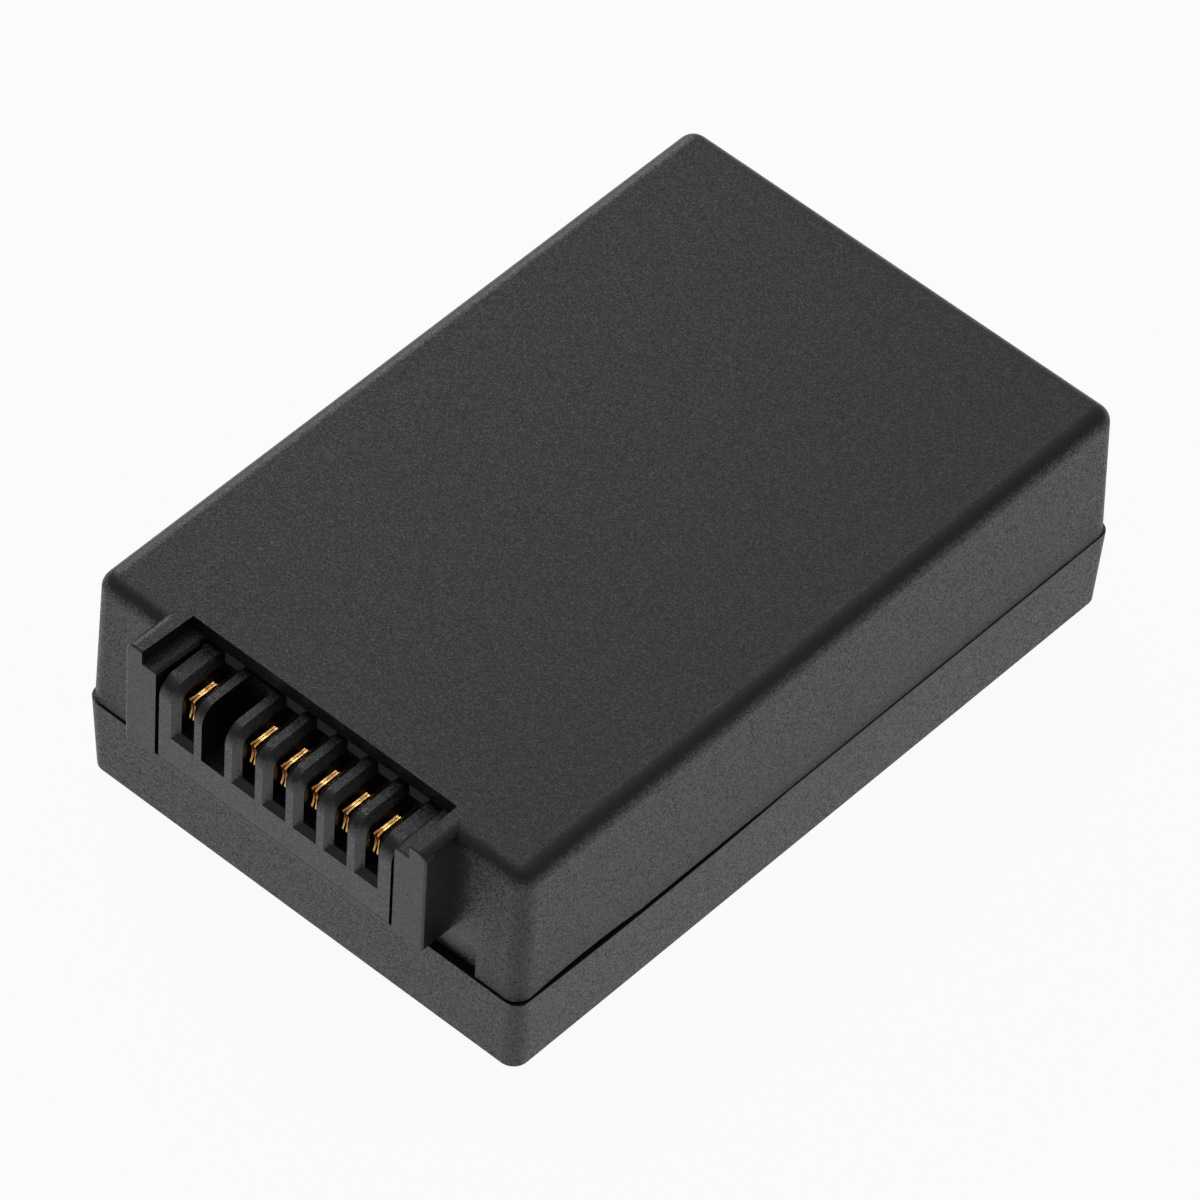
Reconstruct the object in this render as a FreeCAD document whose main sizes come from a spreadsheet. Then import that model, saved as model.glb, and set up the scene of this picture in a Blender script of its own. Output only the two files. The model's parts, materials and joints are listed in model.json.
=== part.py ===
import FreeCAD, Part
import math
import os
import re
import Sketcher

# Battery pack of a handheld barcode scanner: two cylindrical cells, a protection board and a keyed
# blade connector in a case of two moulded halves.
# Millimetres. The origin is the centre of the case's bottom face, X runs across the pack, Y along it
# with the connector at the -Y end, and Z points up.

# Driving dimensions: name, value and meaning
SIZES = [
    ("cell_diameter", 18.4, "cell in its sleeve"),
    ("cell_length", 65.0, "cell over its button"),
    ("cell_gap", 0.4, "between the two cells"),
    ("cell_chamfer", 0.6, "edge at both ends of the can"),
    ("button_diameter", 5.6, "positive button"),
    ("button_height", 0.6, "button above the can's shoulder"),
    ("groove_setback", 4.4, "crimp groove behind the button's top"),
    ("groove_width", 1.4, "crimp groove along the can"),
    ("groove_depth", 0.5, "crimp groove into the can"),
    ("ring_thickness", 0.2, "fibre ring on the can's shoulder"),
    ("ring_clearance", 0.4, "fibre ring round the button"),
    ("side_wall", 2.0, "side walls at the parting line"),
    ("end_wall", 2.0, "front and rear walls at the parting line"),
    ("floor_thickness", 1.5, "floor of the lower case"),
    ("roof_thickness", 1.5, "roof of the upper case"),
    ("side_space", 3.4, "between a cell and the side wall"),
    ("tape_thickness", 0.6, "double-sided tape under a cell"),
    ("tape_width", 8.0, "double-sided tape across"),
    ("tape_length", 30.0, "double-sided tape along the cell"),
    ("foam_thickness", 1.3, "foam between a cell and the roof"),
    ("foam_width", 8.0, "foam across"),
    ("foam_length", 40.0, "foam along the cell"),
    ("rear_pad_thickness", 0.35, "pad between the series strip and the rear wall"),
    ("insulator_thickness", 0.2, "sheet between the board and the tabs"),
    ("sheet_margin", 2.5, "insulating sheets inside the cavity's outline"),
    ("tab_thickness", 0.15, "nickel tabs and strip"),
    ("tab_width", 8.0, "nickel tabs and strip across"),
    ("foot_width", 3.0, "soldered foot of a tab"),
    ("window_clearance", 0.5, "windows in the front sheet round feet and lead"),
    ("lead_diameter", 1.0, "sense lead"),
    ("lead_rise", 5.6, "sense lead above the cells' axes"),
    ("seam_height", 8.55, "parting line above the bottom face"),
    ("seam_gap", 0.18, "groove between the two rims"),
    ("rim_step", 0.15, "upper rim inside the lower rim"),
    ("upper_draft_angle", 1.3, "taper of the upper walls, in degrees"),
    ("lower_draft_angle", 2.4, "taper of the lower walls, in degrees"),
    ("edge_radius", 1.6, "upper vertical corners and roof edges"),
    ("lower_corner_radius", 1.45, "lower vertical corners"),
    ("bottom_chamfer", 0.45, "edges of the bottom face"),
    ("tongue_height", 1.4, "tongue of the lower rim"),
    ("tongue_thickness", 0.7, "tongue of the lower rim"),
    ("tongue_clearance", 0.05, "between the tongue and its rebate"),
    ("rib_thickness", 1.2, "cradle ribs under the cells"),
    ("rib_height", 5.0, "cradle ribs above the floor"),
    ("rib_setback", 20.0, "cradle ribs from the middle of the pack"),
    ("cradle_clearance", 0.1, "between a cell and its cradle"),
    ("post_width", 2.0, "posts that hold the board"),
    ("post_depth", 1.0, "posts that hold the board"),
    ("post_height", 4.0, "posts above the floor"),
    ("pitch", 3.36, "connector positions"),
    ("slot_width", 1.36, "contact slots"),
    ("lead_in", 0.6, "chamfer round the mouth of a contact slot"),
    ("end_web", 1.34, "housing beyond the outermost mouths"),
    ("housing_height", 8.97, "connector housing"),
    ("housing_top_gap", 0.4, "between the housing and the roof"),
    ("sill_height", 3.07, "housing under the mouths"),
    ("nose_radius", 1.8, "upper front edge of the housing"),
    ("rear_wall", 1.45, "housing behind the slots"),
    ("connector_reach", 2.95, "connector in front of the case"),
    ("connector_shift", -0.2, "connector from the middle of the pack"),
    ("connector_clearance", 0.36, "between the housing and the lugs"),
    ("flange_thickness", 2.1, "housing between the front wall and the board"),
    ("flange_overlap", 1.35, "flange beyond the opening at each side"),
    ("flange_drop", 1.9, "flange below the housing"),
    ("hood_shift", -0.25, "hood and its opening from the middle of the pack"),
    ("opening_taper", 0.2, "opening narrower at its rear, at each side"),
    ("lug_width", 1.75, "outer column of a lug"),
    ("ledge_width", 1.56, "inner ledge of a lug"),
    ("ledge_drop", 1.35, "inner ledge below the roof"),
    ("ledge_chamfer", 0.25, "inner upper edge of a ledge"),
    ("lug_radius", 0.9, "upper outer edge of a lug"),
    ("lug_edge_radius", 0.2, "front edges of a lug"),
    ("hood_web", 0.38, "web between the lugs, under the housing"),
    ("web_clearance", 0.05, "between the web and the housing"),
    ("roof_overlap", 1.35, "roof over the rear of the housing"),
    ("recess_margin", 2.75, "recess under the connector, beyond a lug"),
    ("recess_depth", 0.6, "recess under the connector"),
    ("notch_length", 14.0, "arched upper rim on the right side"),
    ("notch_height", 0.4, "arched upper rim on the right side"),
    ("notch_setback", 7.5, "middle of the arched rim behind the front face"),
    ("sag_length", 32.0, "sagging lower rim on the right side"),
    ("sag_depth", 0.42, "sagging lower rim on the right side"),
    ("sag_setback", 16.5, "middle of the sagging rim behind the front face"),
    ("bow_depth", 0.75, "arch and sag into the side wall"),
    ("contact_height", 2.25, "contact heads"),
    ("contact_shift", -0.1, "contacts from the middle of their slots"),
    ("contact_drop", 1.3, "contacts below the top of the housing"),
    ("contact_setback", 1.15, "contact tips behind the front of the housing"),
    ("leaf_thickness", 0.18, "contact leaves"),
    ("leaf_spread", 0.2, "leaf from the middle at its root"),
    ("pinch_spread", 0.04, "leaf from the middle where it grips"),
    ("tip_spread", 0.12, "leaf from the middle at its tip"),
    ("pinch_setback", 0.6, "grip behind the tip"),
    ("head_length", 2.65, "high head of a contact"),
    ("neck_length", 0.6, "bend from the head to the arms"),
    ("arm_height", 1.25, "arms and root behind the head"),
    ("root_length", 0.5, "solid root in front of the slot's rear"),
    ("hollow_radius", 2.6, "hollow front edge of a leaf"),
    ("hollow_depth", 0.2, "hollow front edge of a leaf"),
    ("root_clearance", 0.04, "between a contact's root and the housing"),
    ("tail_width", 0.4, "soldered tail of a contact"),
    ("tail_height", 1.0, "soldered tail of a contact"),
    ("tail_proud", 0.25, "tail behind the board"),
    ("tail_clearance", 0.05, "between a tail and its hole"),
    ("board_thickness", 0.8, "protection board"),
    ("board_margin", 1.5, "board inside the cavity's walls"),
    ("board_headroom", 1.3, "between the board and the roof"),
    ("lead_frame_length", 0.8, "leads of a chip beyond its body"),
    ("lead_frame_width", 0.4, "one lead of a chip"),
    ("lead_frame_thickness", 0.2, "leads of a chip"),
    ("lead_frame_pitch", 1.27, "leads of a chip"),
    ("capacitor_pitch", 4.0, "row of small capacitors"),
]

# Pieces on the front of the board: name, width, height, thickness, X of the middle, and height of the
# middle above the floor
COMPONENTS = [
    ("protection_chip", 5.0, 3.0, 1.1, -11.0, 5.6),
    ("gauge_chip", 6.4, 3.2, 1.1, -2.6, 5.6),
    ("switch_transistor_left", 4.8, 3.4, 1.0, 5.4, 5.6),
    ("switch_transistor_right", 4.8, 3.4, 1.0, 11.8, 5.6),
    ("sense_resistor", 3.2, 1.6, 0.6, 16.6, 8.0),
    ("thermistor", 1.6, 3.2, 0.8, -17.2, 5.6),
    ("thermal_fuse", 3.0, 6.0, 1.2, 17.6, 13.5),
    ("board_capacitors", 1.6, 0.8, 0.8, -8.0, 1.8),
]
COMPONENT_SIZES = ("width", "height", "thickness", "middle", "rise")
# Leads along the top, and as many along the bottom, of the pieces that have them
SMALL_LEAD_COUNT = 3
GAUGE_LEAD_COUNT = 4
LEAD_COUNTS = {
    "protection_chip": SMALL_LEAD_COUNT, "gauge_chip": GAUGE_LEAD_COUNT,
    "switch_transistor_left": SMALL_LEAD_COUNT, "switch_transistor_right": SMALL_LEAD_COUNT}
CAPACITOR_COUNT = 5

# The connector has seven positions, numbered from -X; the second is the empty key slot
POSITION_COUNT = 7
KEY_POSITION = 2
CONTACT_POSITIONS = [number for number in range(1, POSITION_COUNT + 1) if number != KEY_POSITION]

# Places and sizes that follow from the driving dimensions
PLACES = {
    "front_stack": "flange_thickness + board_thickness + tail_proud + insulator_thickness + tab_thickness",
    "case_width": "2 * (side_wall + side_space + cell_diameter) + cell_gap",
    "case_length": "2 * end_wall + front_stack + cell_length + tab_thickness + rear_pad_thickness",
    "case_height": "floor_thickness + tape_thickness + cell_diameter + foam_thickness + roof_thickness",
    "half_width": "case_width / 2",
    "half_length": "case_length / 2",
    "cavity_x": "half_width - side_wall",
    "cavity_y": "half_length - end_wall",
    "roof_underside": "case_height - roof_thickness",
    "rim_bottom": "seam_height + seam_gap",
    "tongue_top": "seam_height + tongue_height",
    "cell_radius": "cell_diameter / 2",
    "cell_x": "(cell_gap + cell_diameter) / 2",
    "cell_z": "floor_thickness + tape_thickness + cell_radius",
    "board_front": "flange_thickness - cavity_y",
    "board_rear": "board_front + board_thickness",
    "insulator_front": "board_rear + tail_proud",
    "tab_front": "insulator_front + insulator_thickness",
    "cell_front": "tab_front + tab_thickness",
    "cell_rear": "cell_front + cell_length",
    "strip_rear": "cell_rear + tab_thickness",
    "tab_top": "cell_z + tab_width / 2",
    "lead_z": "cell_z + lead_rise",
    "mouth_width": "slot_width + 2 * lead_in",
    "housing_x": "%d * pitch + mouth_width / 2 + end_web" % (POSITION_COUNT // 2),
    "housing_top": "roof_underside - housing_top_gap",
    "housing_bottom": "housing_top - housing_height",
    "connector_front": "-(half_length + connector_reach)",
    "sill_top": "housing_bottom + sill_height",
    "slot_rear": "board_front - rear_wall",
    "opening_x": "housing_x + connector_clearance",
    "connector_left": "connector_shift - housing_x",
    "flange_x": "opening_x + flange_overlap",
    "ledge_x": "opening_x + ledge_width",
    "lug_x": "ledge_x + lug_width",
    "ledge_top": "case_height - ledge_drop",
    "web_top": "housing_bottom - web_clearance",
    "hood_bottom": "web_top - hood_web",
    "opening_rear": "board_front - roof_overlap",
    "recess_x": "lug_x + recess_margin",
    "contact_top": "housing_top - contact_drop",
    "contact_bottom": "contact_top - contact_height",
    "contact_middle": "contact_bottom + contact_height / 2",
    "arm_top": "contact_bottom + arm_height",
    "tail_middle": "contact_bottom + arm_height / 2",
    "head_rear": "contact_tip + head_length",
    "contact_tip": "connector_front + contact_setback",
    "root_x": "leaf_spread + leaf_thickness",
    "board_x": "cavity_x - board_margin",
    "board_top": "roof_underside - board_headroom",
}

# Room that a cutting profile runs past the surface that it cuts
OVERCUT = 1.0
# Distance within which two places count as the same
NEAR = 1e-4
# A quarter of a turn, in radians
QUARTER = math.pi / 2

doc = FreeCAD.newDocument("scanner_battery")
sheet = doc.addObject("Spreadsheet::Sheet", "Sizes")
names = set()
nodes = []


def add_size(name, value, meaning):
    """Write one driving dimension into the sheet."""
    row = len(names) + 1
    sheet.set("A%d" % row, meaning)
    sheet.set("B%d" % row, str(value))
    sheet.setAlias("B%d" % row, name)
    names.add(name)


def formula(text):
    """Turn a sum of named sizes and places into an expression on the sheet."""
    def reference(match):
        word = match.group(0)
        if word in PLACES:
            return "(" + formula(PLACES[word]) + ")"
        if word in names:
            return "Sizes." + word
        return word
    return re.sub(r"[a-z_]+", reference, text)


def value(text):
    """Work out a sum of named sizes and places."""
    return float(sheet.evalExpression(formula(text)))


def position_x(number):
    """X of a connector position, counted from 1."""
    return "connector_shift + (%d) * pitch" % (number - (POSITION_COUNT + 1) // 2)


def contact_x(number):
    """X of the contact at a connector position."""
    return position_x(number) + " + contact_shift"


# Helpers for bodies, sketches and features

def new_body(label):
    """Start one sub-part that is made by features."""
    body = doc.addObject("PartDesign::Body", label)
    body.Label = label
    nodes.append(body)
    return body


def origin_plane(body, role):
    """Find one of the body's own origin planes."""
    return next(item for item in body.Origin.OriginFeatures if item.Role == role)


def new_sketch(body, name, role, place):
    """Start a sketch on an origin plane of the body, moved to a place along that plane's axis."""
    sketch = body.newObject("Sketcher::SketchObject", body.Label + "_" + name)
    sketch.AttachmentSupport = [(origin_plane(body, role), "")]
    sketch.MapMode = "FlatFace"
    side = "-" if role == "XZ_Plane" else ""
    sketch.setExpression("AttachmentOffset.Base.z", formula(side + "(" + place + ")"))
    return sketch


def bind_point(sketch, geometry, point, name, across, along):
    """Tie a point of the sketch to its place."""
    for kind, letter, place in (("DistanceX", "x", across), ("DistanceY", "y", along)):
        constraint = Sketcher.Constraint(kind, -1, 1, geometry, point, value(place))
        label = letter + name
        sketch.renameConstraint(sketch.addConstraint(constraint), label)
        sketch.setExpression("Constraints." + label, formula(place))


def draw_outline(sketch, points):
    """Draw a closed outline of straight lines through named places."""
    first = sketch.GeometryCount
    corners = [FreeCAD.Vector(value(across), value(along), 0) for across, along in points]
    count = len(points)
    for index, corner in enumerate(corners):
        sketch.addGeometry(Part.LineSegment(corner, corners[(index + 1) % count]))
    for index, (across, along) in enumerate(points):
        line = first + index
        after = first + (index + 1) % count
        sketch.addConstraint(Sketcher.Constraint("Coincident", line, 2, after, 1))
        bind_point(sketch, line, 1, "line%d" % line, across, along)


def draw_rectangle(sketch, left, low, right, high):
    """Draw a rectangle between named places."""
    draw_outline(sketch, [(left, low), (right, low), (right, high), (left, high)])


def draw_arch(sketch, left, low, right, high, radius):
    """Draw a rectangle with rounded upper corners between named places."""
    inner_left = "%s + %s" % (left, radius)
    inner_right = "%s - %s" % (right, radius)
    shoulder = "%s - %s" % (high, radius)
    ends = [
        ((left, low), (right, low)), ((right, low), (right, shoulder)),
        ((inner_right, high), (inner_left, high)), ((left, shoulder), (left, low))]
    for start, end in ends:
        line = sketch.addGeometry(Part.LineSegment(
            *[FreeCAD.Vector(value(across), value(along), 0) for across, along in (start, end)]))
        bind_point(sketch, line, 1, "start%d" % line, *start)
        bind_point(sketch, line, 2, "end%d" % line, *end)
    upward = FreeCAD.Vector(0, 0, 1)
    for across, turn, before, after in ((inner_right, 0, 1, 2), (inner_left, 1, 2, 3)):
        centre = FreeCAD.Vector(value(across), value(shoulder), 0)
        circle = Part.Circle(centre, upward, value(radius))
        arc = sketch.addGeometry(Part.ArcOfCircle(circle, turn * QUARTER, (turn + 1) * QUARTER))
        sketch.addConstraint(Sketcher.Constraint("Coincident", before, 2, arc, 1))
        sketch.addConstraint(Sketcher.Constraint("Coincident", arc, 2, after, 1))
        label = "radius%d" % arc
        sketch.renameConstraint(
            sketch.addConstraint(Sketcher.Constraint("Radius", arc, value(radius))), label)
        sketch.setExpression("Constraints." + label, formula(radius))


def draw_circle(sketch, across, along, radius):
    """Draw a circle round a named place."""
    centre = FreeCAD.Vector(value(across), value(along), 0)
    ring = sketch.addGeometry(Part.Circle(centre, FreeCAD.Vector(0, 0, 1), value(radius)))
    bind_point(sketch, ring, 3, "ring%d" % ring, across, along)
    label = "radius%d" % ring
    sketch.renameConstraint(sketch.addConstraint(Sketcher.Constraint("Radius", ring, value(radius))), label)
    sketch.setExpression("Constraints." + label, formula(radius))


def add_feature(body, kind, sketch, length, reverse):
    """Extrude a sketch as a pad or as a pocket."""
    feature = body.newObject("PartDesign::" + kind, sketch.Label + "_" + kind.lower())
    feature.Profile = sketch
    feature.setExpression("Length", formula(length))
    feature.Reversed = reverse
    return feature


def add_pad(body, sketch, length, reverse=False, taper=None):
    """Add material along the sketch's axis, or against it."""
    feature = add_feature(body, "Pad", sketch, length, reverse)
    if taper:
        feature.setExpression("TaperAngle", formula(taper))
    doc.recompute()
    return feature


def add_pocket(body, sketch, depth, reverse=False):
    """Cut against the sketch's axis, or along it, and make sure that something was cut."""
    before = body.Shape.Volume
    feature = add_feature(body, "Pocket", sketch, depth, reverse)
    doc.recompute()
    if body.Shape.Volume > before - NEAR:
        raise RuntimeError(feature.Label + " cuts nothing")
    return feature


def dress_edges(body, kind, name, size, chosen):
    """Fillet or chamfer the chosen edges of the body as it is so far."""
    base = body.Tip
    edges = ["Edge%d" % index for index, edge in enumerate(base.Shape.Edges, 1) if chosen(edge)]
    feature = body.newObject("PartDesign::" + kind, body.Label + "_" + name)
    feature.Base = (base, edges)
    feature.setExpression("Radius" if kind == "Fillet" else "Size", formula(size))
    doc.recompute()
    return feature


def lies_at(low, high, place):
    """Tell whether a stretch from low to high is all at one place."""
    return abs(low - place) < NEAR and abs(high - place) < NEAR


def is_upright(edge):
    """Tell whether an edge climbs more than it leans."""
    box = edge.BoundBox
    return box.ZLength > box.XLength + box.YLength


def is_across(edge):
    """Tell whether an edge runs along X."""
    box = edge.BoundBox
    return box.XLength > NEAR and box.YLength < NEAR and box.ZLength < NEAR


def new_box(label, left, right, front, rear, low, high):
    """Make a plain block between named places."""
    box = doc.addObject("Part::Box", label)
    for side, start, end in (("Length", left, right), ("Width", front, rear), ("Height", low, high)):
        box.setExpression(side, formula("(%s) - (%s)" % (end, start)))
    for axis, start in (("x", left), ("y", front), ("z", low)):
        box.setExpression("Placement.Base." + axis, formula(start))
    return box


def new_rod(label, radius, front, rear, across, height):
    """Make a round rod along Y between named places."""
    rod = doc.addObject("Part::Cylinder", label)
    rod.Placement = FreeCAD.Placement(FreeCAD.Vector(), FreeCAD.Rotation(FreeCAD.Vector(1, 0, 0), -90))
    rod.setExpression("Radius", formula(radius))
    rod.setExpression("Height", formula("(%s) - (%s)" % (rear, front)))
    for axis, start in (("x", across), ("y", front), ("z", height)):
        rod.setExpression("Placement.Base." + axis, formula(start))
    return rod


def keep(piece, label):
    """Count a finished primitive or boolean as a sub-part."""
    piece.Label = label
    nodes.append(piece)
    return piece


# The two halves of the case

def bow_radius(length, height):
    """Radius of a shallow arc that rises to a height over a length."""
    return "(%s ^ 2 / 8 / %s + %s / 2)" % (length, height, height)


def make_upper_case():
    """Upper half: drafted box, hood with its two lugs, connector opening and open seam."""
    body = new_body("upper_case")
    shell = new_sketch(body, "shell", "XY_Plane", "rim_bottom")
    draw_rectangle(shell, "rim_step - half_width", "rim_step - half_length",
                   "half_width - rim_step", "half_length - rim_step")
    add_pad(body, shell, "case_height - rim_bottom", taper="-upper_draft_angle")
    top = value("case_height")
    dress_edges(body, "Fillet", "edges", "edge_radius",
                lambda edge: is_upright(edge) or lies_at(edge.BoundBox.ZMin, edge.BoundBox.ZMax, top))

    hood = new_sketch(body, "hood", "XZ_Plane", "connector_front")
    draw_arch(hood, "hood_shift - lug_x", "hood_bottom", "hood_shift + lug_x", "case_height", "lug_radius")
    add_pad(body, hood, "board_front - connector_front", reverse=True)
    before_front = "connector_front - %s" % OVERCUT
    for name, half_width, low in (("opening", "opening_x", "web_top"), ("ledges", "ledge_x", "ledge_top")):
        right_half = [(half_width, before_front), (half_width, "connector_front"),
                      (half_width + " - opening_taper", "opening_rear")]
        outline = [("hood_shift + " + across, along) for across, along in right_half]
        outline += [("hood_shift - (%s)" % across, along) for across, along in reversed(right_half)]
        plan = new_sketch(body, name, "XY_Plane", low)
        draw_outline(plan, outline)
        add_pocket(body, plan, "case_height + %s - (%s)" % (OVERCUT, low), reverse=True)
    ledge = value("ledge_top")
    middle = value("hood_shift")
    ledge_inside = value("opening_x")
    dress_edges(body, "Chamfer", "ledge_edges", "ledge_chamfer",
                lambda edge: lies_at(edge.BoundBox.ZMin, edge.BoundBox.ZMax, ledge)
                and abs(edge.BoundBox.Center.x - middle) < ledge_inside and not is_across(edge))
    front = value("connector_front")
    levels = (ledge, top)
    inner_side = value("lug_x - lug_radius")

    def on_lug_front(edge):
        """Tell whether an edge bounds a lug's front face at its top, its ledge or its outer side."""
        box = edge.BoundBox
        on_level = any(lies_at(box.ZMin, box.ZMax, level) for level in levels)
        on_side = abs(box.Center.x - middle) > inner_side + NEAR
        return lies_at(box.YMin, box.YMax, front) and (on_level or on_side)

    dress_edges(body, "Fillet", "lug_edges", "lug_edge_radius", on_lug_front)

    below_rim = "rim_bottom - %s" % OVERCUT
    recess = new_sketch(body, "recess", "XZ_Plane", "-half_length")
    draw_rectangle(recess, "-recess_x", below_rim, "recess_x", "hood_bottom")
    add_pocket(body, recess, "rim_step + recess_depth")

    cavity = new_sketch(body, "cavity", "XY_Plane", "rim_bottom")
    draw_rectangle(cavity, "-cavity_x", "-cavity_y", "cavity_x", "cavity_y")
    add_pocket(body, cavity, "roof_underside - rim_bottom", reverse=True)
    rebate = new_sketch(body, "rebate", "XY_Plane", "rim_bottom")
    reach = "(tongue_thickness + tongue_clearance)"
    draw_rectangle(rebate, "-cavity_x - " + reach, "-cavity_y",
                   "cavity_x + " + reach, "cavity_y + " + reach)
    add_pocket(body, rebate, "tongue_top - rim_bottom", reverse=True)

    notch = new_sketch(body, "notch", "YZ_Plane", "half_width")
    bow = bow_radius("notch_length", "notch_height")
    draw_circle(notch, "notch_setback - half_length", "rim_bottom + notch_height - " + bow, bow)
    add_pocket(body, notch, "rim_step + bow_depth")


def make_lower_case():
    """Lower half: drafted tray with a tongue on its rim, cradle ribs and posts for the board."""
    body = new_body("lower_case")
    shell = new_sketch(body, "shell", "XY_Plane", "seam_height")
    draw_rectangle(shell, "-half_width", "-half_length", "half_width", "half_length")
    add_pad(body, shell, "seam_height", reverse=True, taper="-lower_draft_angle")
    dress_edges(body, "Fillet", "corners", "lower_corner_radius", is_upright)
    dress_edges(body, "Chamfer", "bottom_edges", "bottom_chamfer",
                lambda edge: lies_at(edge.BoundBox.ZMin, edge.BoundBox.ZMax, 0))

    cavity = new_sketch(body, "cavity", "XY_Plane", "seam_height")
    draw_rectangle(cavity, "-cavity_x", "-cavity_y", "cavity_x", "cavity_y")
    add_pocket(body, cavity, "seam_height - floor_thickness")

    sag = new_sketch(body, "sag", "YZ_Plane", "half_width")
    bow = bow_radius("sag_length", "sag_depth")
    draw_circle(sag, "sag_setback - half_length", "seam_height - sag_depth + " + bow, bow)
    add_pocket(body, sag, "bow_depth")

    tongue = new_sketch(body, "tongue", "XY_Plane", "seam_height")
    outer = "cavity_x + tongue_thickness"
    draw_outline(tongue, [
        ("-cavity_x", "-cavity_y"), ("-cavity_x", "cavity_y"), ("cavity_x", "cavity_y"),
        ("cavity_x", "-cavity_y"), (outer, "-cavity_y"), (outer, "cavity_y + tongue_thickness"),
        ("-(%s)" % outer, "cavity_y + tongue_thickness"), ("-(%s)" % outer, "-cavity_y")])
    add_pad(body, tongue, "tongue_height")

    posts = new_sketch(body, "posts", "XY_Plane", "floor_thickness")
    for side in ("-", ""):
        draw_rectangle(posts, side + "board_x - post_width / 2", "board_front - post_depth",
                       side + "board_x + post_width / 2", "board_front")
    add_pad(body, posts, "post_height")

    rib = new_sketch(body, "rib", "XZ_Plane", "-rib_setback - rib_thickness / 2")
    draw_rectangle(rib, "-cavity_x", "floor_thickness", "cavity_x", "floor_thickness + rib_height")
    rib_pad = add_pad(body, rib, "rib_thickness", reverse=True)
    cradle = new_sketch(body, "cradle", "XZ_Plane", "-rib_setback - rib_thickness / 2")
    for side in ("-", ""):
        draw_circle(cradle, side + "cell_x", "cell_z", "cell_radius + cradle_clearance")
    cradle_pocket = add_pocket(body, cradle, "rib_thickness")
    both_ribs = body.newObject("PartDesign::Mirrored", "lower_case_both_ribs")
    both_ribs.Originals = [rib_pad, cradle_pocket]
    both_ribs.MirrorPlane = (origin_plane(body, "XZ_Plane"), [""])
    body.Tip = both_ribs
    doc.recompute()


# The connector

def make_connector_housing():
    """Block of fins: six contact slots with lead-ins all round their mouths, and a plain key slot."""
    body = new_body("connector_housing")
    block = new_sketch(body, "block", "YZ_Plane", "connector_left")
    draw_rectangle(block, "connector_front", "housing_bottom", "board_front", "housing_top")
    add_pad(body, block, "2 * housing_x")
    front = value("connector_front")
    top = value("housing_top")
    dress_edges(body, "Fillet", "nose", "nose_radius",
                lambda edge: is_across(edge) and lies_at(edge.BoundBox.YMin, edge.BoundBox.YMax, front)
                and lies_at(edge.BoundBox.ZMin, edge.BoundBox.ZMax, top))

    flange = new_sketch(body, "flange", "XZ_Plane", "board_front")
    draw_rectangle(flange, "connector_shift - flange_x", "housing_bottom - flange_drop",
                   "connector_shift + flange_x", "housing_top")
    add_pad(body, flange, "flange_thickness")

    slots = new_sketch(body, "slots", "XZ_Plane", "connector_front")
    for number in CONTACT_POSITIONS:
        middle = position_x(number)
        draw_rectangle(slots, middle + " - slot_width / 2", "sill_top + lead_in",
                       middle + " + slot_width / 2", "housing_top + %s" % OVERCUT)
    add_pocket(body, slots, "slot_rear - connector_front")

    rear = value("slot_rear")
    sill = value("sill_top + lead_in")
    middles = [value(position_x(number)) for number in CONTACT_POSITIONS]
    half_slot = value("slot_width / 2")
    nose = value("nose_radius")

    def on_mouth(edge):
        """Tell whether an edge lies on the housing's skin, round the mouth of a contact slot."""
        point = edge.valueAt((edge.FirstParameter + edge.LastParameter) / 2)
        reach = ((point.y - front - nose) ** 2 + (point.z - top + nose) ** 2) ** 0.5
        on_round = abs(reach - nose) < NEAR and point.y < front + nose and point.z > top - nose
        on_skin = on_round or abs(point.y - front) < NEAR or abs(point.z - top) < NEAR
        in_slot = any(abs(point.x - middle) < half_slot + NEAR for middle in middles)
        return on_skin and in_slot and point.z > sill - NEAR and point.y < rear + NEAR

    dress_edges(body, "Chamfer", "lead_ins", "lead_in", on_mouth)

    key = new_sketch(body, "key", "XZ_Plane", "connector_front")
    middle = position_x(KEY_POSITION)
    draw_rectangle(key, middle + " - mouth_width / 2", "sill_top",
                   middle + " + mouth_width / 2", "housing_top + %s" % OVERCUT)
    add_pocket(body, key, "slot_rear - connector_front")

    roots = new_sketch(body, "roots", "XZ_Plane", "slot_rear")
    for number in CONTACT_POSITIONS:
        middle = contact_x(number)
        draw_rectangle(roots, middle + " - root_x - root_clearance", "contact_bottom - root_clearance",
                       middle + " + root_x + root_clearance", "arm_top + root_clearance")
    add_pocket(body, roots, "rear_wall")


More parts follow.
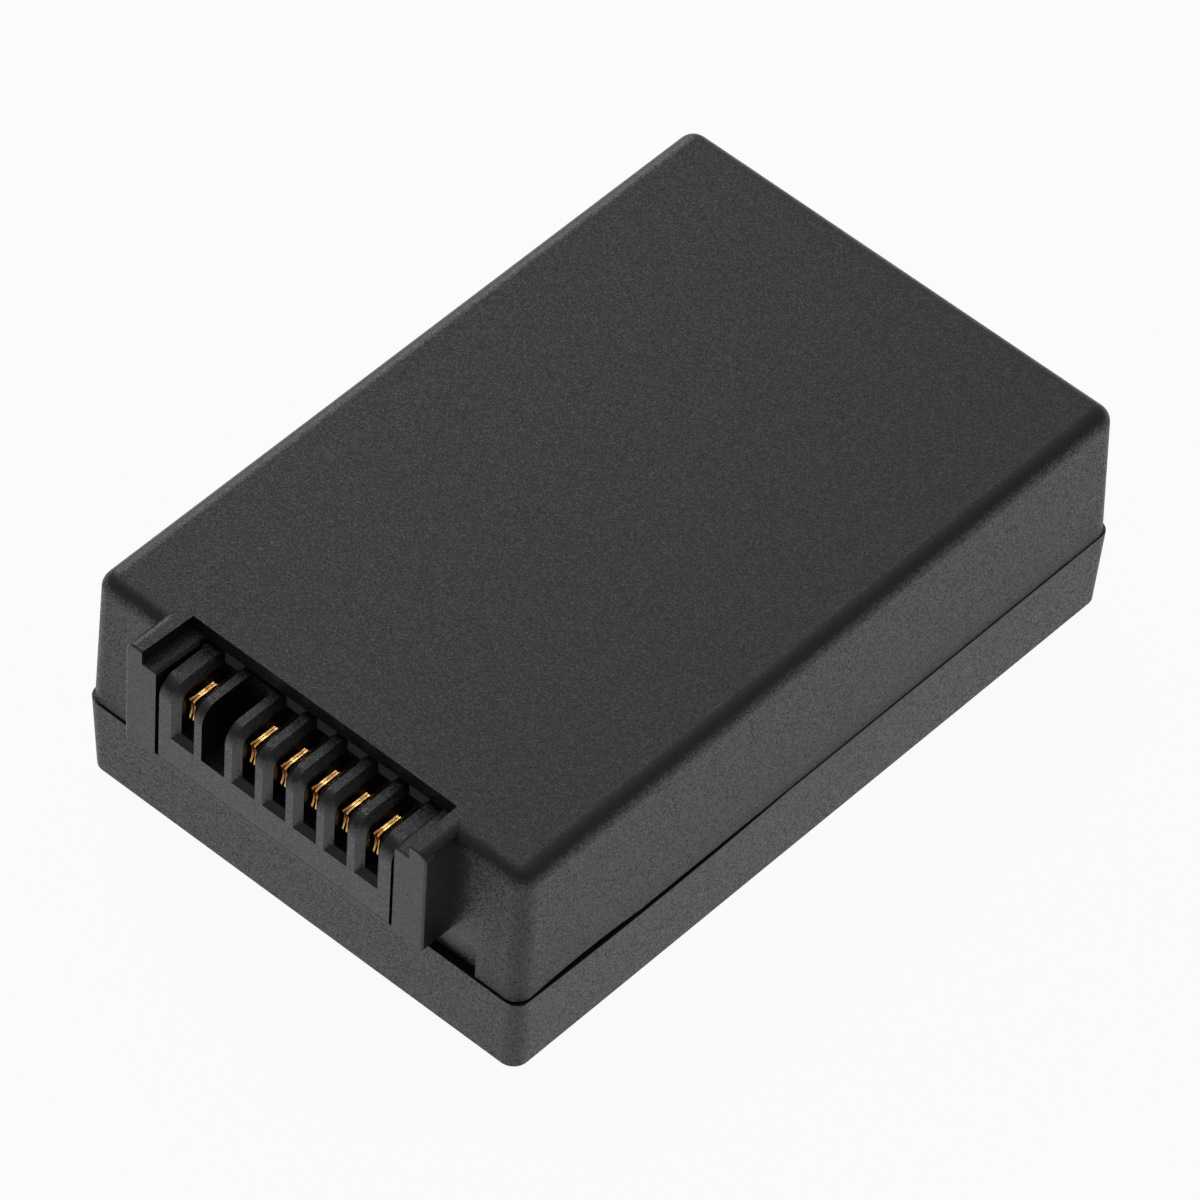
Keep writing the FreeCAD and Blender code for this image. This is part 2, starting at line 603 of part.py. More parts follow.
def make_contact(index, number):
    """Twin-leaf blade contact: a high head with flared, hollow tips, lower arms, a root and a tail."""
    body = new_body("contact_%d" % index)
    middle = contact_x(number)
    right_leaf = [
        ("root_x", "board_front"),
        ("root_x", "head_rear + neck_length"),
        ("pinch_spread + leaf_thickness", "head_rear"),
        ("pinch_spread + leaf_thickness", "contact_tip + pinch_setback"),
        ("tip_spread + leaf_thickness", "contact_tip"),
        ("tip_spread", "contact_tip"),
        ("pinch_spread", "contact_tip + pinch_setback"),
        ("pinch_spread", "head_rear"),
        ("leaf_spread", "head_rear + neck_length"),
        ("leaf_spread", "slot_rear - root_length"),
    ]
    outline = [(middle + " + " + spread, along) for spread, along in right_leaf]
    outline += [("%s - (%s)" % (middle, spread), along) for spread, along in reversed(right_leaf)]
    fork = new_sketch(body, "fork", "XY_Plane", "contact_bottom")
    draw_outline(fork, outline)
    add_pad(body, fork, "contact_height")

    beside = "%s + root_x + %s" % (middle, OVERCUT)
    through = "2 * (root_x + %s)" % OVERCUT
    step = new_sketch(body, "step", "YZ_Plane", beside)
    draw_rectangle(step, "head_rear", "arm_top", "board_front + %s" % OVERCUT, "contact_top + %s" % OVERCUT)
    add_pocket(body, step, through)
    hollow = new_sketch(body, "hollow", "YZ_Plane", beside)
    draw_circle(hollow, "contact_tip + hollow_depth - hollow_radius", "contact_middle", "hollow_radius")
    add_pocket(body, hollow, through)

    tail = new_sketch(body, "tail", "XY_Plane", "tail_middle - tail_height / 2")
    draw_rectangle(tail, middle + " - tail_width / 2", "board_front - rear_wall / 2",
                   middle + " + tail_width / 2", "board_rear + tail_proud")
    add_pad(body, tail, "tail_height")


# The protection board and what is soldered on it

def make_board():
    """Upright board behind the connector, with a hole for each contact's tail."""
    body = new_body("protection_board")
    plate = new_sketch(body, "plate", "XZ_Plane", "board_front")
    draw_rectangle(plate, "-board_x", "floor_thickness", "board_x", "board_top")
    half_hole = "(tail_width / 2 + tail_clearance)"
    half_rise = "(tail_height / 2 + tail_clearance)"
    for number in CONTACT_POSITIONS:
        middle = contact_x(number)
        draw_rectangle(plate, middle + " - " + half_hole, "tail_middle - " + half_rise,
                       middle + " + " + half_hole, "tail_middle + " + half_rise)
    add_pad(body, plate, "board_thickness", reverse=True)


def component_body(label, name, shift="0"):
    """Block of one component on the front face of the board."""
    middle = "%s_middle + %s" % (name, shift)
    rise = "floor_thickness + %s_rise" % name
    return new_box(label, "%s - %s_width / 2" % (middle, name), "%s + %s_width / 2" % (middle, name),
                   "board_front - %s_thickness" % name, "board_front",
                   "%s - %s_height / 2" % (rise, name), "%s + %s_height / 2" % (rise, name))


def make_component(name):
    """One component, with leads along its top and bottom where it has them."""
    body = component_body(name + "_body", name)
    if name not in LEAD_COUNTS:
        return keep(body, name)
    lead_count = LEAD_COUNTS[name]
    pieces = [body]
    top = "floor_thickness + %s_rise + %s_height / 2" % (name, name)
    bottom = "floor_thickness + %s_rise - %s_height / 2" % (name, name)
    for index in range(lead_count):
        middle = "%s_middle + (%s) * lead_frame_pitch" % (name, index - (lead_count - 1) / 2)
        left = middle + " - lead_frame_width / 2"
        right = middle + " + lead_frame_width / 2"
        pieces.append(new_box("%s_lead_%d" % (name, index), left, right,
                              "board_front - lead_frame_thickness", "board_front",
                              bottom + " - lead_frame_length", top + " + lead_frame_length"))
    chip = doc.addObject("Part::MultiFuse", name)
    chip.Shapes = pieces
    chip.Refine = True
    return keep(chip, name)


def make_capacitors():
    """Row of small capacitors along the foot of the board."""
    pieces = [component_body("capacitor_%d" % index, "board_capacitors", "%d * capacitor_pitch" % index)
              for index in range(CAPACITOR_COUNT)]
    row = doc.addObject("Part::Compound", "board_capacitors")
    row.Links = pieces
    return keep(row, "board_capacitors")


# The cells and what joins and holds them

def make_cell(label, side, button_place, turn):
    """Sealed can with its button, crimp groove and flat foot, turned about its own axis line."""
    body = new_body(label)
    section = new_sketch(body, "section", "XY_Plane", "0")
    shoulder = "cell_radius - cell_chamfer"
    waist = "cell_radius - groove_depth"
    draw_outline(section, [
        ("0", "0"), ("button_diameter / 2", "0"), ("button_diameter / 2", "button_height"),
        (shoulder, "button_height"), ("cell_radius", "button_height + cell_chamfer"),
        ("cell_radius", "groove_setback"), (waist, "groove_setback + groove_width / 3"),
        (waist, "groove_setback + groove_width * 2 / 3"), ("cell_radius", "groove_setback + groove_width"),
        ("cell_radius", "cell_length - cell_chamfer"), (shoulder, "cell_length"), ("0", "cell_length")])
    can = body.newObject("PartDesign::Revolution", label + "_can")
    can.Profile = section
    can.ReferenceAxis = (section, ["V_Axis"])
    can.Angle = 360
    body.Placement = FreeCAD.Placement(FreeCAD.Vector(), FreeCAD.Rotation(FreeCAD.Vector(0, 0, 1), turn))
    for axis, place in (("x", side + "cell_x"), ("y", button_place), ("z", "cell_z")):
        body.setExpression("Placement.Base." + axis, formula(place))
    doc.recompute()


def make_ring(label, side, front, rear):
    """Fibre ring round the button, on the can's shoulder."""
    middle = side + "cell_x"
    disc = new_rod(label + "_disc", "cell_radius - cell_chamfer", front, rear, middle, "cell_z")
    hole = new_rod(label + "_hole", "button_diameter / 2 + ring_clearance", front, rear, middle, "cell_z")
    ring = doc.addObject("Part::Cut", label)
    ring.Base = disc
    ring.Tool = hole
    keep(ring, label)


def make_tab(label, side):
    """Nickel tab on a cell's front end, with a foot that reaches the board."""
    body = new_body(label)
    plate = new_sketch(body, "plate", "XZ_Plane", "tab_front")
    draw_rectangle(plate, side + "cell_x - tab_width / 2", "cell_z - tab_width / 2",
                   side + "cell_x + tab_width / 2", "tab_top")
    add_pad(body, plate, "tab_thickness", reverse=True)
    foot = new_sketch(body, "foot", "XZ_Plane", "tab_front")
    draw_rectangle(foot, side + "cell_x - foot_width / 2", "tab_top - tab_thickness",
                   side + "cell_x + foot_width / 2", "tab_top")
    add_pad(body, foot, "tab_front - board_rear")


def make_series_strip():
    """Nickel strip over the rear ends of both cells, with a tongue for the sense lead."""
    body = new_body("series_strip")
    plate = new_sketch(body, "plate", "XZ_Plane", "cell_rear")
    outer = "cell_x + tab_width / 2"
    tongue_top = "lead_z + lead_diameter"
    draw_outline(plate, [
        ("-(%s)" % outer, "cell_z - tab_width / 2"), (outer, "cell_z - tab_width / 2"), (outer, "tab_top"),
        ("foot_width / 2", "tab_top"), ("foot_width / 2", tongue_top),
        ("-foot_width / 2", tongue_top), ("-foot_width / 2", "tab_top"), ("-(%s)" % outer, "tab_top")])
    add_pad(body, plate, "tab_thickness", reverse=True)


def make_front_insulator():
    """Sheet between the board and the tabs, with windows for the feet and the sense lead."""
    body = new_body("front_insulator")
    plate = new_sketch(body, "plate", "XZ_Plane", "insulator_front")
    draw_rectangle(plate, "sheet_margin - cavity_x", "floor_thickness + sheet_margin",
                   "cavity_x - sheet_margin", "roof_underside - sheet_margin")
    for side in ("-", ""):
        draw_rectangle(plate, side + "cell_x - foot_width / 2 - window_clearance",
                       "tab_top - tab_thickness - window_clearance",
                       side + "cell_x + foot_width / 2 + window_clearance", "tab_top + window_clearance")
    half_window = "(lead_diameter / 2 + window_clearance)"
    draw_rectangle(plate, "-" + half_window, "lead_z - " + half_window,
                   half_window, "lead_z + " + half_window)
    add_pad(body, plate, "insulator_thickness", reverse=True)


def make_packing():
    """Rear pad, foam under the roof and tape on the floor."""
    keep(new_box("rear_pad_block", "sheet_margin - cavity_x", "cavity_x - sheet_margin",
                 "strip_rear", "strip_rear + rear_pad_thickness",
                 "floor_thickness + sheet_margin", "roof_underside - sheet_margin"), "rear_pad")
    for name, side in (("left", "-"), ("right", "")):
        middle = side + "cell_x"
        keep(new_box("foam_" + name, middle + " - foam_width / 2", middle + " + foam_width / 2",
                     "-foam_length / 2", "foam_length / 2",
                     "roof_underside - foam_thickness", "roof_underside"), "foam_pad_" + name)
        keep(new_box("tape_" + name, middle + " - tape_width / 2", middle + " + tape_width / 2",
                     "-tape_length / 2", "tape_length / 2",
                     "floor_thickness", "floor_thickness + tape_thickness"), "cell_tape_" + name)


# Build, check and write every sub-part

for size in SIZES:
    add_size(*size)
for component in COMPONENTS:
    for kind, amount in zip(COMPONENT_SIZES, component[1:]):
        add_size("%s_%s" % (component[0], kind), amount, "%s of the %s" % (kind, component[0]))
doc.recompute()

make_upper_case()
make_lower_case()
make_connector_housing()
for index, number in enumerate(CONTACT_POSITIONS, 1):
    make_contact(index, number)
make_board()
for component in COMPONENTS:
    if component[0] == "board_capacitors":
        make_capacitors()
    else:
        make_component(component[0])
make_cell("cell_left", "-", "cell_front", 0)
make_cell("cell_right", "", "cell_rear", 180)
left_shoulder = "cell_front + button_height"
right_shoulder = "cell_rear - button_height"
make_ring("cell_ring_left", "-", left_shoulder + " - ring_thickness", left_shoulder)
make_ring("cell_ring_right", "", right_shoulder, right_shoulder + " + ring_thickness")
make_tab("positive_tab", "-")
make_tab("negative_tab", "")
make_series_strip()
keep(new_rod("sense_wire", "lead_diameter / 2", "board_rear", "cell_rear", "0", "lead_z"), "sense_lead")
make_front_insulator()
make_packing()
doc.recompute()

for item in doc.Objects:
    if "Invalid" in item.State or "Error" in item.State:
        raise RuntimeError("%s failed: %s" % (item.Label, item.State))
for node in nodes:
    if node.Shape.isNull() or not node.Shape.isValid() or not node.Shape.Solids:
        raise RuntimeError(node.Label + " has no valid solid")

os.makedirs("parts", exist_ok=True)
for node in nodes:
    node.Shape.exportStep(os.path.join("parts", node.Label + ".step"))
print("%d sub-parts, case %.2f x %.2f x %.2f" % (
    len(nodes), value("case_width"), value("case_length"), value("case_height")))
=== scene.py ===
import json
import math

import bpy
from mathutils import Matrix, Vector


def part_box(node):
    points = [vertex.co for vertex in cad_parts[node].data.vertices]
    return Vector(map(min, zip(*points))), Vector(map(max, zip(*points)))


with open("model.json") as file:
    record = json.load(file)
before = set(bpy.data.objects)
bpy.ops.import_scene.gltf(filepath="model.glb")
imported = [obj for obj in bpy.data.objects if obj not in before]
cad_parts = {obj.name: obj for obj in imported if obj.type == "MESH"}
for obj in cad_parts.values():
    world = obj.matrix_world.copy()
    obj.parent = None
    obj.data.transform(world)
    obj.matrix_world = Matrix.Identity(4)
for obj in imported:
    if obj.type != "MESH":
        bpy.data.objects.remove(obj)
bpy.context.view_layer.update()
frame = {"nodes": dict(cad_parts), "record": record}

# Looks of a handheld scanner's battery pack: finishes, studio and camera. Metres, in the frame of the part.

MM = 0.001

# The case: its front, its right side and its two rims, with a gap between them
SEAM_GAP = 0.18 * MM
case_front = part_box("lower_case")[0].y
case_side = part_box("lower_case")[1].x
upper_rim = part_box("upper_case")[0].z
lower_rim = upper_rim - SEAM_GAP

# The connector's smooth hood: half its width, where its finish has faded out, and its reach behind the front
HOOD_SIDE = 17.0 * MM
HOOD_FADE = 21.0 * MM
HOOD_REACH = 3.5 * MM

# The pale edge of the lower rim: where it starts and is full, inward from the side, and a height margin
PALE_START = 0.14 * MM
PALE_FULL = 0.08 * MM
PALE_MARGIN = 0.05 * MM

# Moulded grain: the size of its facets, and how far they tilt
GRIT_SIZE = 0.1 * MM
WALL_TILT = 0.85
TOP_TILT = 0.23
HOOD_TILT = 0.2
CONNECTOR_TILT = 0.25

# The contacts' leaves: their front, the length over which their tops roll, and the depths of roll and streaks
leaf_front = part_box("contact_1")[0].y
LEAF_LENGTH = 4.0 * MM
ROLL_DEPTH = 0.38 * MM
STREAK_DEPTH = 0.02 * MM


# Finishes

class Finish:
    """A material made of one Principled shader and of the texture nodes that feed it."""

    def __init__(self, name, colour, roughness, specular=0.5, metallic=0.0):
        self.material = bpy.data.materials.new(name)
        self.material.use_nodes = True
        self.tree = self.material.node_tree
        self.shader = self.tree.nodes["Principled BSDF"]
        self.shader.inputs["Base Color"].default_value = (*colour, 1.0)
        self.shader.inputs["Roughness"].default_value = roughness
        self.shader.inputs["Specular IOR Level"].default_value = specular
        self.shader.inputs["Metallic"].default_value = metallic
        self.place = self.node("TexCoord").outputs["Object"]

    def node(self, kind, **sockets):
        """Add a node, and set or link its named input sockets."""
        node = self.tree.nodes.new("ShaderNode" + kind)
        for name, what in sockets.items():
            self.feed(node.inputs[name.replace("_", " ")], what)
        return node

    def feed(self, socket, what):
        """Link an output to an input socket, or set the socket's value."""
        if isinstance(what, bpy.types.NodeSocket):
            self.tree.links.new(what, socket)
        else:
            socket.default_value = what

    def math(self, operation, first, second=0.0):
        """Combine two numbers."""
        node = self.tree.nodes.new("ShaderNodeMath")
        node.operation = operation
        self.feed(node.inputs[0], first)
        self.feed(node.inputs[1], second)
        return node.outputs[0]

    def stretch(self, number, low, high, to_low=0.0, to_high=1.0):
        """Map the stretch from low to high onto another, smoothly and clamped."""
        node = self.node("MapRange", Value=number)
        node.interpolation_type = "SMOOTHSTEP"
        amounts = {"From Min": low, "From Max": high, "To Min": to_low, "To Max": to_high}
        for name, amount in amounts.items():
            node.inputs[name].default_value = amount
        return node.outputs["Result"]

    def blend(self, share, first, second):
        """Mix two numbers."""
        node = self.tree.nodes.new("ShaderNodeMix")
        self.feed(node.inputs["Factor"], share)
        self.feed(node.inputs[2], first)
        self.feed(node.inputs[3], second)
        return node.outputs[0]

    def shades(self, share, dark, light):
        """Mix two colours."""
        node = self.tree.nodes.new("ShaderNodeMix")
        node.data_type = "RGBA"
        self.feed(node.inputs["Factor"], share)
        for socket, colour in ((node.inputs[6], dark), (node.inputs[7], light)):
            self.feed(socket, (*colour, 1.0) if isinstance(colour, tuple) else colour)
        return node.outputs[2]

    def noise(self, grain, detail=2.0, squeeze=(1.0, 1.0, 1.0)):
        """Cloudy noise with grains of the given size, squeezed along the axes."""
        node = self.tree.nodes.new("ShaderNodeMapping")
        self.feed(node.inputs["Vector"], self.place)
        node.inputs["Scale"].default_value = [factor / grain for factor in squeeze]
        return self.node("TexNoise", Vector=node.outputs[0], Scale=1.0, Detail=detail).outputs["Fac"]

    def axis(self, name):
        """One coordinate of the place on the part."""
        return self.node("SeparateXYZ", Vector=self.place).outputs[name]

    def facing_up(self):
        """How far the surface faces up, from -1 to 1."""
        normal = self.node("NewGeometry").outputs["Normal"]
        return self.node("SeparateXYZ", Vector=normal).outputs["Z"]

    def vector(self, operation, first, second=(0.0, 0.0, 0.0)):
        """Combine two vectors."""
        node = self.tree.nodes.new("ShaderNodeVectorMath")
        node.operation = operation
        self.feed(node.inputs[0], first)
        self.feed(node.inputs[1], second)
        return node.outputs[0]

    def scaled(self, vector, factor):
        """Scale a vector."""
        node = self.tree.nodes.new("ShaderNodeVectorMath")
        node.operation = "SCALE"
        self.feed(node.inputs[0], vector)
        self.feed(node.inputs["Scale"], factor)
        return node.outputs[0]

    def grit(self, tilt):
        """Tilt the surface at random in each cell of a fine mosaic."""
        mosaic = self.node("TexVoronoi", Vector=self.place, Scale=1.0 / GRIT_SIZE).outputs["Color"]
        lean = self.scaled(self.vector("SUBTRACT", mosaic, (0.5, 0.5, 0.5)), tilt)
        normal = self.vector("ADD", self.node("NewGeometry").outputs["Normal"], lean)
        self.feed(self.shader.inputs["Normal"], self.vector("NORMALIZE", normal))

    def bump(self, height, depth):
        """Raise the surface by a height texture of the given depth."""
        node = self.node("Bump", Height=height, Distance=depth)
        self.feed(self.shader.inputs["Normal"], node.outputs["Normal"])

    def colour(self, socket):
        """Feed the base colour."""
        self.feed(self.shader.inputs["Base Color"], socket)

    def roughness(self, socket):
        """Feed the roughness."""
        self.feed(self.shader.inputs["Roughness"], socket)


def case_plastic():
    """Charcoal moulded plastic: strong grain on the walls, fainter on top and on the connector's hood."""
    finish = Finish("case_plastic", (0.006, 0.0061, 0.0063), 0.42, 0.56)
    up = finish.facing_up()
    on_top = finish.stretch(up, 0.05, 0.9)
    across = finish.axis("X")
    height = finish.axis("Z")
    # The hood and the walls of the connector's opening are smoother, and the grain fades in beside the lugs
    between_lugs = finish.stretch(finish.math("ABSOLUTE", across), HOOD_SIDE, HOOD_FADE, 1.0, 0.0)
    above_seam = finish.math("GREATER_THAN", height, upper_rim)
    at_front = finish.math("LESS_THAN", finish.axis("Y"), case_front + HOOD_REACH)
    near_hood = finish.math("MULTIPLY", at_front, finish.math("MULTIPLY", between_lugs, above_seam))
    on_hood = finish.math("MULTIPLY", finish.math("SUBTRACT", 1.0, on_top), near_hood)
    finish.grit(finish.blend(on_hood, finish.blend(on_top, WALL_TILT, TOP_TILT), HOOD_TILT))
    coarse = finish.noise(0.3 * MM, 1.5)
    skin = finish.shades(coarse, (0.004, 0.004, 0.0042), (0.008, 0.0082, 0.0085))
    # The edge of the lower rim is coloured pale grey along the right side
    at_side = finish.stretch(across, case_side - PALE_START, case_side - PALE_FULL)
    on_rim = finish.math("MULTIPLY", at_side, finish.stretch(up, 0.6, 0.9))
    below_seam = finish.math("LESS_THAN", height, lower_rim + PALE_MARGIN)
    pale_edge = finish.math("MULTIPLY", on_rim, below_seam)
    finish.colour(finish.shades(pale_edge, skin, (0.55, 0.552, 0.56)))
    finish.roughness(finish.blend(on_hood, finish.stretch(coarse, 0.3, 0.7, 0.38, 0.46), 0.34))
    return finish.material


def connector_plastic():
    """Black moulded plastic with a satin cloudiness and a faint grain."""
    finish = Finish("connector_plastic", (0.006, 0.0061, 0.0064), 0.36, 0.6)
    cloud = finish.noise(0.8 * MM, 3.0)
    finish.colour(finish.shades(cloud, (0.004, 0.0041, 0.0043), (0.008, 0.0082, 0.0086)))
    finish.roughness(finish.stretch(cloud, 0.3, 0.7, 0.28, 0.36))
    finish.grit(CONNECTOR_TILT)
    return finish.material


def contact_gilt():
    """Gilt leaf metal with faint marks of the stamping along the leaves."""
    finish = Finish("contact_gilt", (0.9, 0.6, 0.2), 0.22, 0.5, 1.0)
    streak = finish.noise(0.25 * MM, 3.0, (4.0, 0.4, 2.0))
    finish.colour(finish.shades(streak, (0.62, 0.31, 0.09), (0.86, 0.52, 0.2)))
    finish.roughness(finish.stretch(streak, 0.3, 0.7, 0.1, 0.22))
    # The leaves' tops roll over from the front to the back
    behind_front = finish.math("SUBTRACT", finish.axis("Y"), leaf_front)
    turn = finish.math("MULTIPLY", behind_front, math.pi / LEAF_LENGTH)
    roll = finish.math("MULTIPLY", finish.math("COSINE", turn), -ROLL_DEPTH)
    finish.bump(finish.math("ADD", roll, finish.math("MULTIPLY", streak, STREAK_DEPTH)), 1.0)
    return finish.material


def circuit_board():
    """Green solder mask over woven glass."""
    finish = Finish("circuit_board", (0.02, 0.13, 0.05), 0.4)
    weave = finish.noise(0.5 * MM, 1.0)
    finish.colour(finish.shades(weave, (0.012, 0.1, 0.035), (0.03, 0.17, 0.07)))
    finish.bump(weave, 0.01 * MM)
    return finish.material


def chip_resin():
    """Black moulded resin."""
    finish = Finish("chip_resin", (0.02, 0.02, 0.021), 0.6)
    speck = finish.noise(0.15 * MM, 2.0)
    finish.colour(finish.shades(speck, (0.014, 0.014, 0.015), (0.03, 0.03, 0.032)))
    finish.bump(speck, 0.006 * MM)
    return finish.material


def capacitor_ceramic():
    """Fired ceramic with uneven colour."""
    finish = Finish("capacitor_ceramic", (0.4, 0.3, 0.2), 0.5)
    speck = finish.noise(0.3 * MM, 3.0)
    finish.colour(finish.shades(speck, (0.34, 0.25, 0.16), (0.46, 0.36, 0.25)))
    finish.bump(speck, 0.005 * MM)
    return finish.material


def cell_sleeve():
    """Shrunk plastic sleeve with faint lengthwise pulls."""
    finish = Finish("cell_sleeve", (0.05, 0.2, 0.3), 0.3)
    pull = finish.noise(1.2 * MM, 2.0, (1.0, 0.1, 1.0))
    finish.colour(finish.shades(pull, (0.04, 0.17, 0.26), (0.06, 0.23, 0.34)))
    finish.roughness(finish.stretch(pull, 0.3, 0.7, 0.24, 0.38))
    finish.bump(pull, 0.02 * MM)
    return finish.material


def nickel():
    """Rolled nickel strip."""
    finish = Finish("nickel", (0.66, 0.64, 0.6), 0.35, 0.5, 1.0)
    roll = finish.noise(0.3 * MM, 3.0, (0.1, 1.0, 2.0))
    finish.colour(finish.shades(roll, (0.58, 0.56, 0.52), (0.72, 0.7, 0.66)))
    finish.roughness(finish.stretch(roll, 0.3, 0.7, 0.28, 0.44))
    finish.bump(roll, 0.004 * MM)
    return finish.material


def fibre():
    """Pressed fibre sheet."""
    finish = Finish("fibre", (0.7, 0.66, 0.54), 0.85)
    felt = finish.noise(0.6 * MM, 5.0)
    finish.colour(finish.shades(felt, (0.62, 0.58, 0.46), (0.76, 0.72, 0.6)))
    finish.bump(felt, 0.03 * MM)
    return finish.material


def foam():
    """Black closed-cell foam."""
    finish = Finish("foam", (0.03, 0.03, 0.032), 0.9)
    cells = finish.node("TexVoronoi", Vector=finish.place, Scale=1.0 / (0.5 * MM)).outputs["Distance"]
    finish.colour(finish.shades(cells, (0.05, 0.05, 0.053), (0.015, 0.015, 0.016)))
    finish.bump(cells, -0.1 * MM)
    return finish.material


def lead_insulation():
    """Extruded yellow insulation."""
    finish = Finish("lead_insulation", (0.7, 0.55, 0.05), 0.4)
    pull = finish.noise(0.4 * MM, 2.0, (1.0, 0.15, 1.0))
    finish.colour(finish.shades(pull, (0.62, 0.48, 0.04), (0.76, 0.6, 0.07)))
    finish.bump(pull, 0.01 * MM)
    return finish.material


def dress_nodes():
    """Give every piece of the frame the finish of its material slot."""
    makers = (case_plastic, connector_plastic, contact_gilt, circuit_board, chip_resin, capacitor_ceramic,
              cell_sleeve, nickel, fibre, foam, lead_insulation)
    finishes = {maker.__name__: maker() for maker in makers}
    for row in frame["record"]["subparts"]:
        frame["nodes"][row["node"]].material_slots[0].material = finishes[row["material_slot"]]


# Studio

# The floor: half its width, its paint, and the share of plain white seen over the paint
FLOOR_REACH = 8.0
FLOOR_PAINT = (0.9, 0.9, 0.9, 1.0)
FLOOR_WHITE = 0.94
# It lies just below the part, so that no two faces share a place
FLOOR_DROP = 0.02 * MM
# The glow overhead: its direction, its strength, how fast it falls off, and the strength far from it
GLOW = Vector((-0.41, 0.35, 0.84))
GLOW_STRENGTH = 0.57
GLOW_POWER = 3.0
DIM_STRENGTH = 0.27
# The pale band along the horizon: its strength, and the heights on the unit sphere where it fades
HORIZON_STRENGTH = 0.9
HORIZON_TOP = 0.005
HORIZON_END = 0.02

# Softboxes: name, direction from the part, distance, width, height and radiance
SOFTBOXES = [
    ("key_softbox", (-0.741, 0.518, 0.428), 2.0, 0.7, 0.7, 4.5),
    ("overhead_softbox", (-0.5, 0.1, 0.86), 2.0, 0.26, 0.26, 10.0),
]


def add_floor():
    """Pale floor: white to the eye, with a faint shadow of the part."""
    mesh = bpy.data.meshes.new("floor")
    sides = ((-1, -1), (1, -1), (1, 1), (-1, 1))
    corners = [(x * FLOOR_REACH, y * FLOOR_REACH, -FLOOR_DROP) for x, y in sides]
    mesh.from_pydata(corners, [], [(0, 1, 2, 3)])
    floor = bpy.data.objects.new("floor", mesh)
    bpy.context.scene.collection.objects.link(floor)

    material = bpy.data.materials.new("floor")
    material.use_nodes = True
    nodes = material.node_tree.nodes
    links = material.node_tree.links
    nodes.clear()
    paint = nodes.new("ShaderNodeBsdfDiffuse")
    paint.inputs["Color"].default_value = FLOOR_PAINT
    white = nodes.new("ShaderNodeEmission")
    white.inputs["Color"].default_value = (1.0, 1.0, 1.0, 1.0)
    white.inputs["Strength"].default_value = 1.0
    path = nodes.new("ShaderNodeLightPath")
    seen = nodes.new("ShaderNodeMath")
    seen.operation = "MAXIMUM"
    links.new(path.outputs["Is Camera Ray"], seen.inputs[0])
    links.new(path.outputs["Is Glossy Ray"], seen.inputs[1])
    seen_through = nodes.new("ShaderNodeMath")
    seen_through.operation = "MAXIMUM"
    links.new(seen.outputs[0], seen_through.inputs[0])
    links.new(path.outputs["Is Transmission Ray"], seen_through.inputs[1])
    share = nodes.new("ShaderNodeMath")
    share.operation = "MULTIPLY"
    links.new(seen_through.outputs[0], share.inputs[0])
    share.inputs[1].default_value = FLOOR_WHITE
    mix = nodes.new("ShaderNodeMixShader")
    links.new(share.outputs[0], mix.inputs["Fac"])
    links.new(paint.outputs[0], mix.inputs[1])
    links.new(white.outputs[0], mix.inputs[2])
    output = nodes.new("ShaderNodeOutputMaterial")
    links.new(mix.outputs[0], output.inputs["Surface"])
    mesh.materials.append(material)


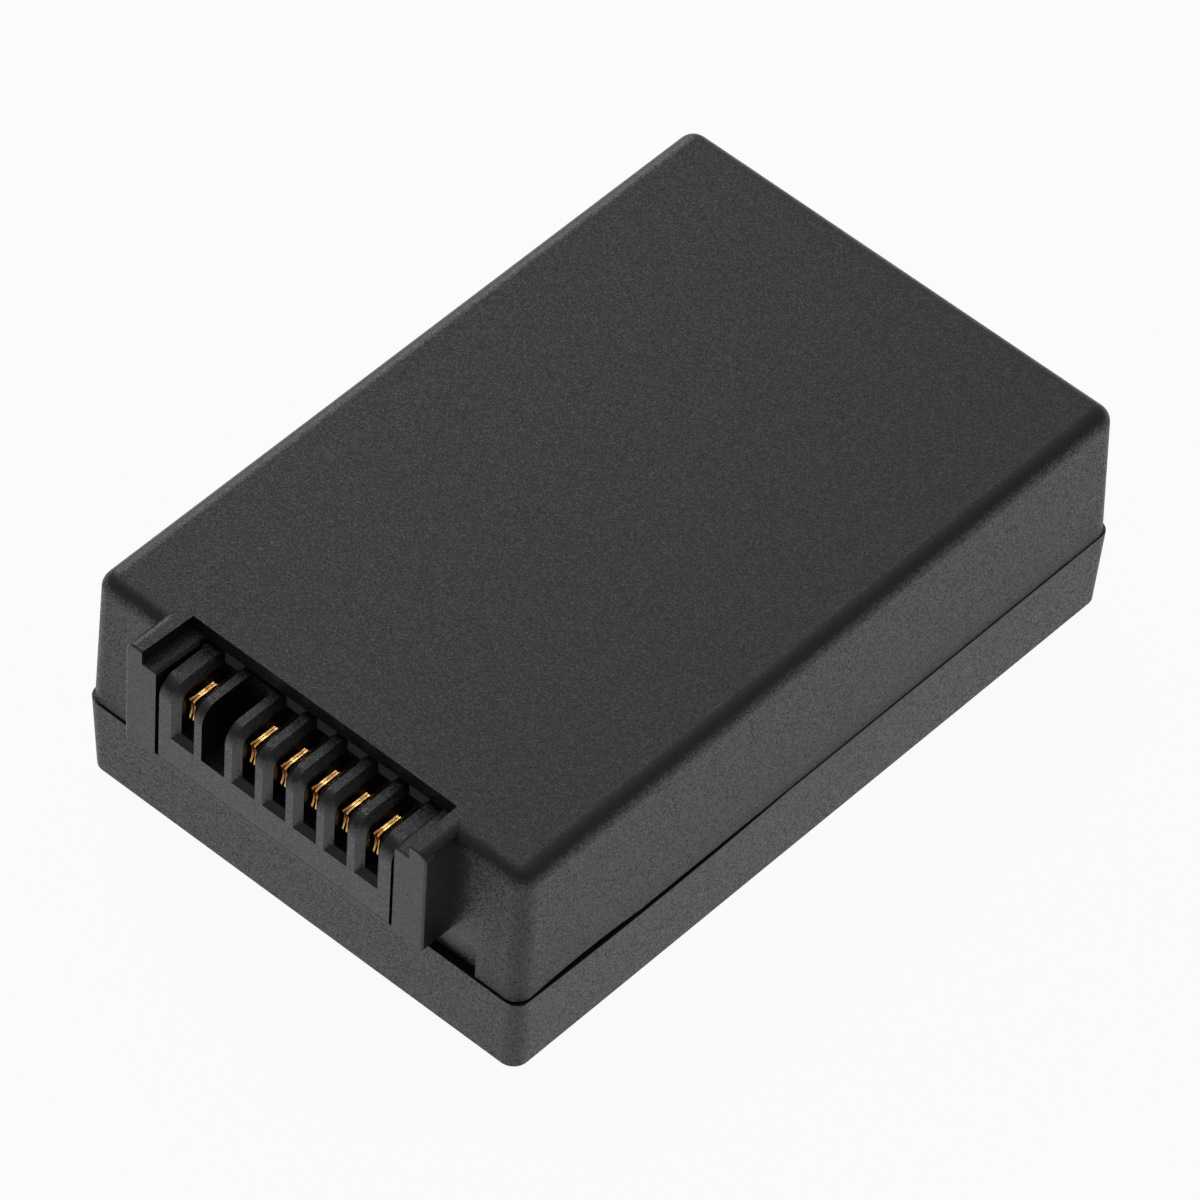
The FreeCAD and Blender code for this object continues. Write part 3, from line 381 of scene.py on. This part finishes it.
def add_world():
    """Dim room with a glow overhead and a pale horizon."""
    world = bpy.data.worlds.new("studio")
    world.use_nodes = True
    nodes = world.node_tree.nodes
    links = world.node_tree.links
    background = nodes["Background"]
    background.inputs["Color"].default_value = (1.0, 1.0, 1.0, 1.0)
    direction = nodes.new("ShaderNodeTexCoord").outputs["Generated"]

    def step(operation, first, second):
        """Combine two numbers."""
        node = nodes.new("ShaderNodeMath")
        node.operation = operation
        links.new(first, node.inputs[0])
        if isinstance(second, float):
            node.inputs[1].default_value = second
        else:
            links.new(second, node.inputs[1])
        return node.outputs[0]

    towards = nodes.new("ShaderNodeVectorMath")
    towards.operation = "DOT_PRODUCT"
    links.new(direction, towards.inputs[0])
    towards.inputs[1].default_value = GLOW.normalized()
    glow = step("POWER", step("MAXIMUM", towards.outputs["Value"], 0.0), GLOW_POWER)
    sky = step("ADD", step("MULTIPLY", glow, GLOW_STRENGTH - DIM_STRENGTH), DIM_STRENGTH)
    height = nodes.new("ShaderNodeSeparateXYZ")
    links.new(direction, height.inputs["Vector"])
    band = nodes.new("ShaderNodeMapRange")
    band.interpolation_type = "SMOOTHSTEP"
    band.inputs["From Min"].default_value = HORIZON_TOP
    band.inputs["From Max"].default_value = HORIZON_END
    band.inputs["To Min"].default_value = HORIZON_STRENGTH
    band.inputs["To Max"].default_value = 0.0
    links.new(height.outputs["Z"], band.inputs["Value"])
    links.new(step("MAXIMUM", sky, band.outputs["Result"]), background.inputs["Strength"])
    bpy.context.scene.world = world


def add_softbox(name, direction, distance, width, height, radiance):
    """Rectangular lamp that faces the part."""
    lamp = bpy.data.lights.new(name, "AREA")
    lamp.shape = "RECTANGLE"
    lamp.size = width
    lamp.size_y = height
    lamp.energy = radiance * math.pi * width * height
    away = Vector(direction).normalized()
    softbox = bpy.data.objects.new(name, lamp)
    softbox.location = away * distance
    softbox.rotation_euler = away.to_track_quat("Z", "Y").to_euler()
    bpy.context.scene.collection.objects.link(softbox)


# Camera: the photograph's angle, roll and perspective

VIEW_AZIMUTH = math.radians(39.583)
VIEW_ELEVATION = math.radians(47.799)
VIEW_ROLL = math.radians(3.662)
VIEW_AIM = Vector((0.72, -1.47, 11.65)) * MM
VIEW_DISTANCE = 855.48 * MM
LENS = 313.41
SENSOR = 36.0


def add_camera():
    """Camera that looks at the part as the photograph does."""
    back = Vector((
        math.sin(VIEW_AZIMUTH) * math.cos(VIEW_ELEVATION),
        -math.cos(VIEW_AZIMUTH) * math.cos(VIEW_ELEVATION),
        math.sin(VIEW_ELEVATION)))
    data = bpy.data.cameras.new("camera")
    data.lens = LENS
    data.sensor_width = SENSOR
    camera = bpy.data.objects.new("camera", data)
    turn = back.to_track_quat("Z", "Y").to_matrix().to_4x4() @ Matrix.Rotation(VIEW_ROLL, 4, "Z")
    camera.matrix_world = Matrix.Translation(VIEW_AIM + back * VIEW_DISTANCE) @ turn
    bpy.context.scene.collection.objects.link(camera)
    bpy.context.scene.camera = camera


dress_nodes()
add_floor()
add_world()
for softbox in SOFTBOXES:
    add_softbox(*softbox)
add_camera()
bpy.context.scene.view_settings.view_transform = "Standard"
